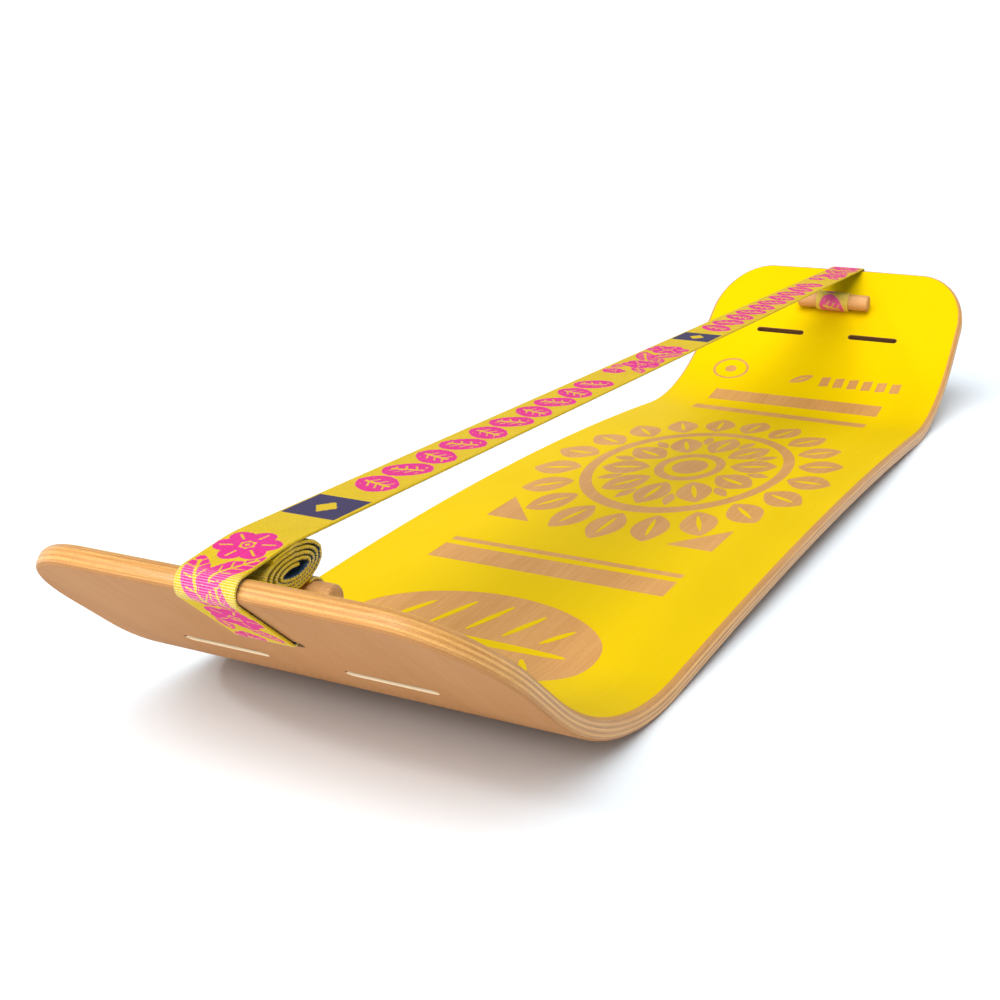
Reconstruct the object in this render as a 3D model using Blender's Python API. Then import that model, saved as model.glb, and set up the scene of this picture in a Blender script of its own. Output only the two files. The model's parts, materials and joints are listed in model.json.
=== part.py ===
"""Balance board: a bent plywood deck with a length of flat webbing strung over it.

The deck is nine bent veneers with a gentle camber and two raised noses. The webbing is
anchored by a dowel at each end: it comes up through a slot, turns round the dowel, and
outside it runs under the deck and over the nose, then straight across to the other nose.

X runs along the board (the end with the rolled-up spare webbing is at -X), Y across it,
Z up. The origin is on the floor, under the middle of the board. Units are metres.
"""
import math

import bmesh
import bpy
from mathutils import Vector
from mathutils.geometry import tessellate_polygon

# Side profile of the deck's middle surface, from the centre out to one nose
CAMBER_RADIUS = 7.0
CAMBER_LENGTH = 0.470        # arc from the centre to where the bend starts
FLAT_CENTRE = 0.040          # half length of the level stretch in the middle
CAMBER_FACETS = 5
BEND_RADIUS = 0.341
FLOOR_TILT = math.radians(2.0)    # the level contact facet spans this much each side
BEND_FACETS = 8
KICK_ANGLE = math.radians(39.0)
KICK_LENGTH = 0.157

# Deck outline, laid flat
END_WIDTH = 0.392
SIDE_BULGE = 0.0075          # how much wider each side is at mid-length
CORNER_LENGTH = 0.108
CORNER_WIDTH = 0.078
CORNER_STEPS = 7
NOSE_BOW = 0.003             # the corners sit this much behind the middle of the nose

# Plywood
DECK_THICKNESS = 0.018
PLY_COUNT = 9
GAP = 0.0003                 # between touching pieces
TOP_ROUND_DEPTH = 0.008
TOP_ROUND_HEIGHT = 0.009
BOTTOM_ROUND_DEPTH = 0.0045
BOTTOM_ROUND_HEIGHT = 0.006

# Slots, as distance along the deck from the centre, and across it
SLOT_WIDTH = 0.008
SLOT_LENGTH = 0.074
ANCHOR_SLOT_LENGTH = 0.057   # the webbing fills it
SIDE_SLOT_ALONG = 0.737
SIDE_SLOT_ACROSS = 0.0728
ANCHOR_SLOT_ALONG = 0.795
SLOT_STEPS = 4               # segments in each round end

# Webbing
WEB_WIDTH = 0.050
WEB_THICKNESS = 0.0025
NOSE_WRAP_RADIUS = 0.011     # middle of the webbing, round the nose
NOSE_WRAP_INSET = 0.0075     # centre of that turn, in from the nose
CREST_X = -0.773             # where the spare roll pushes the line up
CREST_Z = 0.1965
CREST_RADIUS = 0.060
LINE_START_X = -0.747        # the free span starts here
LINE_END_BACK = 0.006        # and stops this far before the far nose's turn

# Anchor dowels
DOWEL_RADIUS = 0.012
DOWEL_LENGTH = 0.110
DOWEL_SIDES = 24
DOWEL_ROUND = 0.003
NEAR_DOWEL_ACROSS = 0.0125    # the near dowel sits off centre in its loop
NEAR_DOWEL_LIFT = 0.0055     # the webbing's turn keeps the dowels off the deck
FAR_DOWEL_LIFT = 0.0031
LOOP_RADIUS = DOWEL_RADIUS + GAP + WEB_THICKNESS / 2    # middle of the webbing's loop
LOOP_TAIL_LENGTH = 0.052     # sewn overlap of the far loop, under the deck
LEG_OFFSET = 0.0016          # the far loop's two legs, either side of the slot's middle
NEAR_SLOT_TURN = 0.0040      # the webbing's turns at the slots' lower edges
FAR_OUTER_TURN = 0.0056
FAR_INNER_TURN = 0.0025
TAIL_LEAN = 0.35             # the near tail leaves its dowel this far past the top

# Rolled-up spare webbing
ROLL_X = -0.7715
ROLL_Z = 0.1775
ROLL_HALF_LENGTH = 0.039
ROLL_HALF_HEIGHT = 0.0172
ROLL_TILT = math.radians(5.0)
ROLL_STEPS = 32
ROLL_CLEARANCE = 0.0005

# Segments in the webbing's turns
CREST_STEPS = 4
NOSE_STEPS = 10
SLOT_TURN_STEPS = 4
LOOP_STEPS = 14

HALF_DECK = DECK_THICKNESS / 2
HALF_WEB = WEB_THICKNESS / 2
LINE_GAP = 0.0004            # between the moving spans and what they meet


# ---------------------------------------------------------------- deck profile

def profile_stations():
    """Stations (along, x, z, tilt) from the centre to the nose, on the middle surface."""
    stations = []
    start_tilt = -CAMBER_LENGTH / CAMBER_RADIUS
    step = (CAMBER_LENGTH - FLAT_CENTRE) / CAMBER_FACETS
    for i in range(CAMBER_FACETS + 1):
        along = FLAT_CENTRE + i * step
        turn = along / CAMBER_RADIUS
        x = CAMBER_RADIUS * math.sin(turn)
        z = -CAMBER_RADIUS * (1 - math.cos(turn))
        stations.append((along, x, z, -turn))
    along, x, z, _ = stations[-1]
    centre_x = x - BEND_RADIUS * math.sin(start_tilt)
    centre_z = z + BEND_RADIUS * math.cos(start_tilt)
    tilts = [-FLOOR_TILT, FLOOR_TILT]
    rise = (KICK_ANGLE - FLOOR_TILT) / BEND_FACETS
    tilts += [FLOOR_TILT + rise * (i + 1) for i in range(BEND_FACETS)]
    for tilt in tilts:
        bend_along = along + (tilt - start_tilt) * BEND_RADIUS
        bend_x = centre_x + BEND_RADIUS * math.sin(tilt)
        bend_z = centre_z - BEND_RADIUS * math.cos(tilt)
        stations.append((bend_along, bend_x, bend_z, tilt))
    along, x, z, tilt = stations[-1]
    end_x = x + KICK_LENGTH * math.cos(tilt)
    end_z = z + KICK_LENGTH * math.sin(tilt)
    stations.append((along + KICK_LENGTH, end_x, end_z, tilt))
    return stations


HALF_STATIONS = profile_stations()
HALF_LENGTH = HALF_STATIONS[-1][0]
MIRRORED = [(-a, -x, z, -t) for a, x, z, t in reversed(HALF_STATIONS)]
STATIONS = MIRRORED + HALF_STATIONS
LOWEST = min(z - HALF_DECK * math.cos(t) for _, _, z, t in STATIONS)


def deck_point(along, height):
    """World (x, z) of a point at a distance along the deck and a height off its middle."""
    for low, high in zip(STATIONS, STATIONS[1:]):
        if along <= high[0] or high is STATIONS[-1]:
            share = (along - low[0]) / (high[0] - low[0])
            ends = []
            for _, x, z, tilt in (low, high):
                ends.append((x - height * math.sin(tilt), z + height * math.cos(tilt)))
            x = ends[0][0] + share * (ends[1][0] - ends[0][0])
            z = ends[0][1] + share * (ends[1][1] - ends[0][1])
            return x, z - LOWEST
    return None


# ---------------------------------------------------------------- deck outline

def half_width(along):
    return END_WIDTH / 2 + SIDE_BULGE * (1 - (along / HALF_LENGTH) ** 2)


def edge_inset(height):
    """How far the rounded edge stands back at a height off the middle surface."""
    if height > 0:
        depth, span, over = TOP_ROUND_DEPTH, TOP_ROUND_HEIGHT, height
    else:
        flat = HALF_DECK - BOTTOM_ROUND_HEIGHT
        depth, span, over = BOTTOM_ROUND_DEPTH, BOTTOM_ROUND_HEIGHT, -height - flat
    share = min(max(over / span, 0.0), 1.0)
    return depth * (1 - math.sqrt(1 - share * share))


def quarter_outline(inset):
    """Outline points of one quarter, from the side at mid-length to the nose's middle."""
    corner_start = HALF_LENGTH - CORNER_LENGTH
    corner_side = half_width(corner_start) - CORNER_WIDTH
    points = [(a, half_width(a) - inset) for a, _, _, _ in HALF_STATIONS[:-1]]
    for i in range(CORNER_STEPS + 1):
        turn = math.pi / 2 * i / CORNER_STEPS
        along = corner_start + (CORNER_LENGTH - inset) * math.sin(turn)
        across = corner_side + (CORNER_WIDTH - inset) * math.cos(turn)
        points.append((along, across))
    points.append((HALF_LENGTH - inset, corner_side / 2))
    bowed = []
    for along, across in points:
        bow = 0.0
        if along > corner_start:
            bow = NOSE_BOW * (across / half_width(corner_start)) ** 2
            bow *= (along - corner_start) / CORNER_LENGTH
        bowed.append((along - bow, across))
    return bowed


def deck_outline(inset):
    """Closed outline, anticlockwise seen from above, starting at the +Y side's middle."""
    quarter = quarter_outline(inset)
    plus_y = [(-a, y) for a, y in quarter]
    near_right = [(-a, -y) for a, y in reversed(quarter)]
    far_right = [(a, -y) for a, y in quarter]
    far_left = [(a, y) for a, y in reversed(quarter)]
    return plus_y + near_right + far_right + far_left


def slot_outline(along, across, length):
    """A slot's outline, its length across the deck, with round ends."""
    radius = SLOT_WIDTH / 2
    reach = length / 2 - radius
    points = []
    for side in (1, -1):
        for i in range(SLOT_STEPS + 1):
            turn = math.pi * i / SLOT_STEPS
            points.append((along + side * radius * math.cos(turn),
                           across + side * (reach + radius * math.sin(turn))))
    return points


def slot_places():
    for end in (-1, 1):
        yield end * ANCHOR_SLOT_ALONG, 0.0, ANCHOR_SLOT_LENGTH
        yield end * SIDE_SLOT_ALONG, SIDE_SLOT_ACROSS, SLOT_LENGTH
        yield end * SIDE_SLOT_ALONG, -SIDE_SLOT_ACROSS, SLOT_LENGTH


# ---------------------------------------------------------------- shared helpers

def clear_scene():
    for thing in list(bpy.data.objects):
        bpy.data.objects.remove(thing, do_unlink=True)


def make_material(name, colour, roughness, metallic=0.0):
    material = bpy.data.materials.new(name)
    material.use_nodes = True
    shader = material.node_tree.nodes["Principled BSDF"]
    shader.inputs["Base Color"].default_value = (*colour, 1.0)
    shader.inputs["Roughness"].default_value = roughness
    shader.inputs["Metallic"].default_value = metallic
    material.diffuse_color = (*colour, 1.0)
    return material


def add_object(name, mesh_data, material, location=(0, 0, 0)):
    mesh = bpy.data.meshes.new(name)
    bmesh.ops.recalc_face_normals(mesh_data, faces=mesh_data.faces)
    mesh_data.to_mesh(mesh)
    mesh_data.free()
    mesh.materials.append(material)
    thing = bpy.data.objects.new(name, mesh)
    thing.location = location
    bpy.context.collection.objects.link(thing)
    return thing


# ---------------------------------------------------------------- plywood

def station_cells(outline):
    """Split the outline's points into one polygon for each stretch between stations."""
    limits = [a for a, _, _, _ in STATIONS]
    cells = []
    for low, high in zip(limits, limits[1:]):
        near_low = low - 1e-7 if low is not limits[0] else -10.0
        near_high = high + 1e-7 if high is not limits[-1] else 10.0
        cell = [i for i, (a, _) in enumerate(outline) if near_low <= a <= near_high]
        cells.append((low, high, cell))
    return cells


def bent_veneer(name, low, high, material):
    """One veneer between two heights off the middle surface, with all six slots."""
    edges = [deck_outline(edge_inset(low)), deck_outline(edge_inset(high))]
    slots = [slot_outline(*place) for place in slot_places()]
    data = bmesh.new()

    def add_ring(points, height):
        ring = []
        for along, across in points:
            x, z = deck_point(along, height)
            ring.append(data.verts.new((x, across, z)))
        return ring

    rings = [add_ring(edges[i], h) for i, h in enumerate((low, high))]
    slot_rings = [[add_ring(s, h) for s in slots] for h in (low, high)]
    for layer in (0, 1):
        for start, end, cell in station_cells(edges[layer]):
            loops = [[rings[layer][i] for i in cell]]
            flat = [[Vector((*edges[layer][i], 0.0)) for i in cell]]
            for slot, ring in zip(slots, slot_rings[layer]):
                if start < slot[0][0] < end:
                    loops.append(ring)
                    flat.append([Vector((*p, 0.0)) for p in slot])
            corners = [v for loop in loops for v in loop]
            for triangle in tessellate_polygon(flat):
                data.faces.new([corners[i] for i in triangle])
    for lower, upper in [rings] + list(zip(*slot_rings)):
        count = len(lower)
        for i in range(count):
            j = (i + 1) % count
            data.faces.new((lower[i], lower[j], upper[j], upper[i]))
    return add_object(name, data, material)


def build_deck(face_wood, cross_wood, printed_wood):
    pitch = (DECK_THICKNESS + GAP) / PLY_COUNT
    for i in range(PLY_COUNT):
        low = -HALF_DECK + i * pitch
        name, material = f"ply_{i + 1}", cross_wood if i % 2 else face_wood
        if i == 0:
            name = "bottom_veneer"
        if i == PLY_COUNT - 1:
            name, material = "top_veneer", printed_wood
        bent_veneer(name, low, low + pitch - GAP, material)


# ---------------------------------------------------------------- webbing

def arc_points(centre, radius, start, end, steps):
    points = []
    for i in range(steps + 1):
        turn = start + (end - start) * i / steps
        points.append((centre[0] + radius * math.cos(turn),
                       centre[1] + radius * math.sin(turn)))
    return points


def tangent_turn(point, centre, radius, side):
    """Angle round a circle at which a line from the point touches it."""
    dx, dz = point[0] - centre[0], point[1] - centre[1]
    return math.atan2(dz, dx) + side * math.acos(radius / math.hypot(dx, dz))


def ribbon(name, path, material, location=(0.0, 0.0), width=WEB_WIDTH):
    """A flat band swept along a path of (x, z) points, its width across the board."""
    data = bmesh.new()
    rows = []
    for i, (x, z) in enumerate(path):
        before, after = path[max(i - 1, 0)], path[min(i + 1, len(path) - 1)]
        first = Vector((x - before[0], z - before[1]))
        second = Vector((after[0] - x, after[1] - z))
        if i == 0:
            first = second
        if i == len(path) - 1:
            second = first
        first.normalize()
        second.normalize()
        middle = (first + second).normalized()
        reach = HALF_WEB / max(middle.dot(first), 0.5)
        normal = Vector((-middle.y, middle.x)) * reach
        row = []
        for side, across in ((1, 1), (-1, 1), (-1, -1), (1, -1)):
            row.append(data.verts.new((x + side * normal.x - location[0],
                                       across * width / 2,
                                       z + side * normal.y - location[1])))
        rows.append(row)
    for near, far in zip(rows, rows[1:]):
        for k in range(4):
            m = (k + 1) % 4
            data.faces.new((near[k], near[m], far[m], far[k]))
    data.faces.new(rows[0])
    data.faces.new(rows[-1])
    return add_object(name, data, material, (location[0], 0.0, location[1]))


def nose_centre(end):
    """Centre of the webbing's turn over a nose; end is -1 or 1."""
    return deck_point(end * (HALF_LENGTH - NOSE_WRAP_INSET), 0.0)


def dowel_centre(end):
    lift = NEAR_DOWEL_LIFT if end < 0 else FAR_DOWEL_LIFT
    return deck_point(end * ANCHOR_SLOT_ALONG, HALF_DECK + DOWEL_RADIUS + lift)


LINE_START = (LINE_START_X, CREST_Z)
FAR_TURN = tangent_turn(LINE_START, nose_centre(1), NOSE_WRAP_RADIUS, -1)
FAR_TOUCH = arc_points(nose_centre(1), NOSE_WRAP_RADIUS, FAR_TURN, FAR_TURN, 1)[0]
LINE_VECTOR = Vector((FAR_TOUCH[0] - LINE_START[0], FAR_TOUCH[1] - LINE_START[1]))
LINE_LENGTH = LINE_VECTOR.length - LINE_END_BACK
LINE_DIRECTION = LINE_VECTOR.normalized()
LINE_TILT = math.atan2(LINE_DIRECTION.y, LINE_DIRECTION.x)
LINE_MIDDLE = LINE_LENGTH / 2


def on_line(distance):
    """A point on the straight line, at a distance from its near end."""
    return (LINE_START[0] + distance * LINE_DIRECTION.x,
            LINE_START[1] + distance * LINE_DIRECTION.y)


def crest_centre():
    return CREST_X, CREST_Z - CREST_RADIUS


def nose_rise():
    """Tilt of the webbing's run from the near nose up to the crest over the roll."""
    low, high = nose_centre(-1), crest_centre()
    dx, dz = high[0] - low[0], high[1] - low[1]
    lean = math.asin((CREST_RADIUS - NOSE_WRAP_RADIUS) / math.hypot(dx, dz))
    return math.atan2(dz, dx) + lean


def slot_turn(end, leg, height, radius):
    """Quarter turn from a run under the deck, on the nose side, up into a slot."""
    points = []
    for i in range(SLOT_TURN_STEPS + 1):
        turn = math.pi / 2 * i / SLOT_TURN_STEPS
        along = leg + radius * (1 - math.sin(turn))
        points.append(deck_point(end * along, height + radius * (1 - math.cos(turn))))
    return points


def near_wrap_path():
    """From the crest over the nose, under the deck, up the slot and round the dowel."""
    rise = nose_rise()
    path = [on_line(-LINE_GAP)]
    path += arc_points(crest_centre(), CREST_RADIUS, math.pi / 2 + LINE_TILT,
                       math.pi / 2 + rise, CREST_STEPS)
    path += arc_points(nose_centre(-1), NOSE_WRAP_RADIUS, math.pi / 2 + rise,
                       1.5 * math.pi - KICK_ANGLE, NOSE_STEPS)
    path += slot_turn(-1, ANCHOR_SLOT_ALONG, -NOSE_WRAP_RADIUS, NEAR_SLOT_TURN)
    mouth = deck_point(-ANCHOR_SLOT_ALONG, HALF_DECK)
    path.append(mouth)
    dowel = dowel_centre(-1)
    start = tangent_turn(mouth, dowel, LOOP_RADIUS, 1)
    path += arc_points(dowel, LOOP_RADIUS, start, math.pi / 2 + TAIL_LEAN, LOOP_STEPS)
    return path


def far_loop_path():
    """From the far nose under the deck, up the slot, round the dowel and back out."""
    outer = -(HALF_DECK + WEB_THICKNESS + HALF_WEB + 3 * GAP + 0.0002)
    inner = -(HALF_DECK + HALF_WEB + GAP)
    up, down = ANCHOR_SLOT_ALONG - LEG_OFFSET, ANCHOR_SLOT_ALONG + LEG_OFFSET
    path = [on_line(LINE_LENGTH + LINE_GAP)]
    path += arc_points(nose_centre(1), NOSE_WRAP_RADIUS, FAR_TURN,
                       KICK_ANGLE - math.pi / 2, NOSE_STEPS)
    path.append(deck_point(down + LOOP_TAIL_LENGTH + 0.003, outer))
    path += slot_turn(1, up, outer, FAR_OUTER_TURN)
    rise = deck_point(up, HALF_DECK + 2 * GAP)
    fall = deck_point(down, HALF_DECK + 2 * GAP)
    dowel = dowel_centre(1)
    start = tangent_turn(rise, dowel, LOOP_RADIUS, -1) + 2 * math.pi
    stop = tangent_turn(fall, dowel, LOOP_RADIUS, 1)
    path.append(rise)
    path += arc_points(dowel, LOOP_RADIUS, start, stop, LOOP_STEPS)
    path.append(fall)
    path += reversed(slot_turn(1, down, inner, FAR_INNER_TURN))
    path.append(deck_point(down + LOOP_TAIL_LENGTH, inner))
    return path


def build_webbing(webbing):
    ribbon("webbing_near_wrap", near_wrap_path(), webbing)
    ribbon("webbing_far_loop", far_loop_path(), webbing)
    ribbon("webbing_span_near", [on_line(0), on_line(LINE_MIDDLE - LINE_GAP / 2)],
           webbing, LINE_START)
    ribbon("webbing_span_far", [on_line(LINE_MIDDLE + LINE_GAP / 2),
                                on_line(LINE_LENGTH)],
           webbing, on_line(LINE_MIDDLE))


# ---------------------------------------------------------------- roll and dowels

def reach_to_plane(turn, normal_turn, distance):
    """Distance along a ray from the roll's centre to a plane that faces it."""
    facing = math.cos(turn - normal_turn)
    return distance / facing if facing > 1e-6 else 1.0


def reach_to_circle(turn, centre, radius):
    """Distance along a ray from the roll's centre to a round piece in its way."""
    dx, dz = centre[0] - ROLL_X, centre[1] - ROLL_Z
    ahead = dx * math.cos(turn) + dz * math.sin(turn)
    aside = dx * math.sin(turn) - dz * math.cos(turn)
    if ahead < 0 or abs(aside) > radius:
        return 1.0
    return ahead - math.sqrt(radius * radius - aside * aside)


def roll_outline():
    """The spare roll's outline: an oval squeezed by the line, the deck and the dowel."""
    hold = crest_centre()
    crest_limit = CREST_RADIUS - HALF_WEB - ROLL_CLEARANCE
    planes = []
    for share in (0.0, 0.5, 1.0):
        normal = math.pi / 2 + share * nose_rise()
        to_roll = ((ROLL_X - hold[0]) * math.cos(normal)
                   + (ROLL_Z - hold[1]) * math.sin(normal))
        planes.append((normal, crest_limit - to_roll))
    down = 1.5 * math.pi - KICK_ANGLE
    deck = deck_point(-ANCHOR_SLOT_ALONG, HALF_DECK + ROLL_CLEARANCE)
    planes.append((down, (deck[0] - ROLL_X) * math.cos(down)
                   + (deck[1] - ROLL_Z) * math.sin(down)))
    keep_off = LOOP_RADIUS + HALF_WEB + ROLL_CLEARANCE
    points = []
    for i in range(ROLL_STEPS):
        turn = 2 * math.pi * i / ROLL_STEPS
        level = turn - ROLL_TILT
        oval = 1 / math.hypot(math.cos(level) / ROLL_HALF_LENGTH,
                              math.sin(level) / ROLL_HALF_HEIGHT)
        reach = min([oval, reach_to_circle(turn, dowel_centre(-1), keep_off)]
                    + [reach_to_plane(turn, *plane) for plane in planes])
        points.append((reach * math.cos(turn), reach * math.sin(turn)))
    return points


def build_roll(webbing):
    data = bmesh.new()
    sides = []
    for across in (-WEB_WIDTH / 2, WEB_WIDTH / 2):
        sides.append([data.verts.new((x, across, z)) for x, z in roll_outline()])
    data.faces.new(sides[0])
    data.faces.new(sides[1])
    for i in range(ROLL_STEPS):
        j = (i + 1) % ROLL_STEPS
        data.faces.new((sides[0][i], sides[0][j], sides[1][j], sides[1][i]))
    add_object("webbing_spare_roll", data, webbing, (ROLL_X, 0.0, ROLL_Z))


def build_dowel(name, end, across, wood):
    data = bmesh.new()
    half, small = DOWEL_LENGTH / 2, DOWEL_ROUND * 0.3
    profile = [(half, DOWEL_RADIUS - DOWEL_ROUND), (half - small, DOWEL_RADIUS - small),
               (half - DOWEL_ROUND, DOWEL_RADIUS)]
    profile += [(-y, radius) for y, radius in reversed(profile)]
    rings = []
    for y, radius in profile:
        ring = []
        for i in range(DOWEL_SIDES):
            turn = 2 * math.pi * i / DOWEL_SIDES
            ring.append(data.verts.new((radius * math.cos(turn), y,
                                        radius * math.sin(turn))))
        rings.append(ring)
    data.faces.new(rings[0])
    data.faces.new(rings[-1])
    for near, far in zip(rings, rings[1:]):
        for i in range(DOWEL_SIDES):
            j = (i + 1) % DOWEL_SIDES
            data.faces.new((near[i], near[j], far[j], far[i]))
    x, z = dowel_centre(end)
    dowel = add_object(name, data, wood, (x, across, z))
    dowel.data.shade_smooth()
    dowel.data.set_sharp_from_angle(angle=math.radians(40))


def build_board():
    clear_scene()
    face_wood = make_material("face_wood", (0.55, 0.33, 0.18), 0.50)
    cross_wood = make_material("cross_wood", (0.42, 0.22, 0.10), 0.55)
    printed_wood = make_material("printed_wood", (0.93, 0.66, 0.01), 0.45)
    dowel_wood = make_material("dowel_wood", (0.58, 0.36, 0.21), 0.50)
    webbing = make_material("webbing", (0.80, 0.62, 0.03), 0.60)
    build_deck(face_wood, cross_wood, printed_wood)
    build_webbing(webbing)
    build_roll(webbing)
    build_dowel("near_dowel", -1, NEAR_DOWEL_ACROSS, dowel_wood)
    build_dowel("far_dowel", 1, 0.0, dowel_wood)


build_board()
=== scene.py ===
"""Looks of the balance board: smooth plywood, printed ink, woven webbing and turned dowels.

Every piece stands where its CAD node stands. Lengths are metres, in the frame's own axes:
X along the board, Y across it, Z up. "Along" is a distance along the bent deck from its
middle, and "height" a distance off the deck's middle surface.
"""
import json
import math

import bmesh
import bpy
import numpy as np
from mathutils import Matrix, Vector
from mathutils.geometry import delaunay_2d_cdt, tessellate_polygon


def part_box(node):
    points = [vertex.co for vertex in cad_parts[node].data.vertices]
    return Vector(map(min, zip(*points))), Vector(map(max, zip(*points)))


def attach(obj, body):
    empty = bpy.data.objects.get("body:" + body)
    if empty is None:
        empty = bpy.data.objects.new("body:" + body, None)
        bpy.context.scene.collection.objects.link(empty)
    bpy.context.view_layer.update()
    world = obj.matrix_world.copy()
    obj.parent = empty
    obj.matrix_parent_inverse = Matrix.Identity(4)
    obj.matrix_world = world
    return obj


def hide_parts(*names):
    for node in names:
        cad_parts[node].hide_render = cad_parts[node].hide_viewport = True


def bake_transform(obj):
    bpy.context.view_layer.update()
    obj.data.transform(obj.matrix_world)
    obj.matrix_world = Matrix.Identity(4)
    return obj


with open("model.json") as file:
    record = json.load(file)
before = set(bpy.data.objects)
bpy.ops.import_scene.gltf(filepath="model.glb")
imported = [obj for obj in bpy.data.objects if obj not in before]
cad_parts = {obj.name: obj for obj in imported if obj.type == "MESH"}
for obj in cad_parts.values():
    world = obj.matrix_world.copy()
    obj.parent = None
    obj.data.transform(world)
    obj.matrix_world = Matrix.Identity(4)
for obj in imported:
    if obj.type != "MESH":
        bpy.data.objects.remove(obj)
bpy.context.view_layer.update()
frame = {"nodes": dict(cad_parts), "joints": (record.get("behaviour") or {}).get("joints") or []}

# Deck profile: camber, bend, straight kick
CAMBER_RADIUS = 7.0
CAMBER_LENGTH = 0.470
FLAT_CENTRE = 0.040
CAMBER_STEPS = 12
BEND_RADIUS = 0.341
FLOOR_TILT = math.radians(2.0)
BEND_STEPS = 32
KICK_ANGLE = math.radians(39.0)
KICK_LENGTH = 0.157

# Deck outline and edge
END_WIDTH = 0.392
SIDE_BULGE = 0.0075
CORNER_LENGTH = 0.108
CORNER_WIDTH = 0.078
CORNER_STEPS = 22
NOSE_STEPS = 6
NOSE_BOW = 0.003
THICKNESS = 0.018
HALF_DECK = THICKNESS / 2
PLY_COUNT = 9
TOP_ROUND = (0.008, 0.009)        # depth and height of the rounded edge
BOTTOM_ROUND = (0.0045, 0.006)
GLUE_LINE = 0.00006
TOP_MOUTH = 0.0008                # softened mouths of the slots
BOTTOM_MOUTH = 0.0019

# Slots
SLOT_WIDTH = 0.008
SLOT_LENGTH = 0.074
ANCHOR_SLOT_LENGTH = 0.057
SIDE_SLOT_ALONG = 0.737
SIDE_SLOT_ACROSS = 0.0728
ANCHOR_SLOT_ALONG = 0.795
SLOT_STEPS = 8

# Ink coat, and the largest shapes that it leaves bare
INK_THICKNESS = 0.00012
INK_LIFT = 0.00003
INK_INSET = 0.0058                # the print runs a little way down the rounded edge
INK_SLOT_MARGIN = 0.0009
ROSETTE_ALONG = 0.1040
ROSETTE_HALF = (0.308, 0.174)     # half length and half width
BIG_LEAF_ALONG = -0.480

# Webbing
WEB_WIDTH = 0.050
WEB_THICKNESS = 0.0025
HALF_WEB = WEB_THICKNESS / 2
PICK = 0.00080                    # spacing of the weft where it is modelled finely
LINE_PICK = 0.00125               # and on the long free line
WEAVE_RELIEF = 0.00005
RIB_PITCH = 0.00174
SCALLOP = 0.00022                 # the selvedge swells and narrows by this
SCALLOP_PITCH = 1.25 * RIB_PITCH
DASH_PITCH = 2 * RIB_PITCH        # back yarn that shows along the selvedge
DASH_LENGTH = 1.1 * RIB_PITCH
POLISH_AND_HIGHLIGHT_SPREAD = 9                 # picks over which the polish of a bend fades
PATTERN_REPEAT = 0.796            # label, then a row of leaves, then flowers
LABEL_SPAN = (0.031, 0.082)
LABEL_HALF_WIDTH = 0.0228
LABEL_DIAMOND = (0.0150, 0.0100)  # half length and half width
LEAF_ROW = (0.104, 0.568)
LEAF_PITCH = 0.0464
LEAF_HALF = (0.0212, 0.0192)
LEAF_LEAN = 0.004
NOSE_WRAP_RADIUS = 0.011          # middle of the webbing, round the nose
NOSE_WRAP_INSET = 0.0075          # centre of that turn, in from the nose
CREST_X = -0.760                  # where the spare roll pushes the line up
CREST_RADIUS = 0.20
LINE_GAP = 0.0004                 # between the line and the wraps that it meets
LOOP_TAIL_CLEAR = 0.003           # the outer layer leaves the tail this far past its end
LEG_OFFSET = 0.0016               # the far loop's two legs, either side of the slot
NEAR_SLOT_TURN = 0.0040           # radii of the turns at the slots' lower edges
FAR_OUTER_TURN = 0.0056
FAR_INNER_TURN = 0.0025
LOOP_TAIL_LENGTH = 0.052          # sewn overlap of the far loop, under the deck
GAP = 0.0003                      # between touching pieces
LAYER_LIFT = 0.0002               # further room between the far loop's two layers
TAIL_LEAN = 0.35                  # the near tail leaves its dowel this far past the top
TONGUE_LENGTH = 0.0055            # the line's end, telescoped into the far wrap
TONGUE_THICKNESS = 0.78           # its thickness and width, as shares of the webbing's
TONGUE_WIDTH = 0.9604

# Spare roll
ROLL_CENTRE = (-0.7715, 0.1775)
ROLL_TURNS = 4.3
ROLL_TURN_STEPS = 60
ROLL_START = math.radians(150)
ROLL_HOLD = math.radians(110)     # the outermost turn keeps to the outline this far
ROLL_TILT = math.radians(5.0)
ROLL_FULLNESS = 1.2               # slack webbing is thicker than stretched webbing
ROLL_CORE = (0.0140, 0.0034)      # half length and height of the hole in the middle
ROLL_CORE_SHIFT = (0.0050, -0.0015)    # the hole sits off centre

# Dowels
DOWEL_ROUND = 0.003
DOWEL_SIDES = 64

# Camera, from the board's own frame
CAMERA_PLACE = Vector((-1.5477, -0.5774, 0.5151))
CAMERA_AIM = CAMERA_PLACE + Vector((0.85330, 0.43309, -0.29038))
CAMERA_ROLL = 0.0087
CAMERA_LENS = 52.86

# Studio light
FLOOR_SIZE = 400
FLOOR_DROP = 0.0002               # keeps the floor off the board's lowest face
FLOOR_COLOUR = (0.86, 0.92, 0.96, 1.0)
SKY_COLOUR = (0.05, 0.08, 0.11, 1.0)
BACKDROP_COLOUR = (1.18, 1.18, 1.18, 1.0)
BACKDROP_SIDE = (0.89, 0.45, 0.0)
BACKDROP_EDGE = (0.25, 0.70)      # cosines from that side where the backdrop fades in
BACKDROP_TOP = (0.40, 0.75)       # sines of elevation where it fades out
HORIZON_TOP = (0.20, 0.38)
LAMP_AIM = Vector((-0.8, 0.0, 0.1))
KEY_LIGHT = 3.85
KEY_SPREAD = math.radians(56)
KEY_FROM = Vector((-0.72, 0.0, 1.0))
LAMPS = (("low_front", 6, 0.8, Vector((-3.2, 1.6, 0.45))),
         ("glint", 18, 0.25, Vector((-2.4, 1.8, 2.0))))


def srgb(red, green, blue):
    """Linear colour of an 8-bit sRGB one."""
    linear = []
    for value in (red / 255, green / 255, blue / 255):
        linear.append(value / 12.92 if value < 0.04045 else ((value + 0.055) / 1.055) ** 2.4)
    return (*linear, 1.0)


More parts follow.
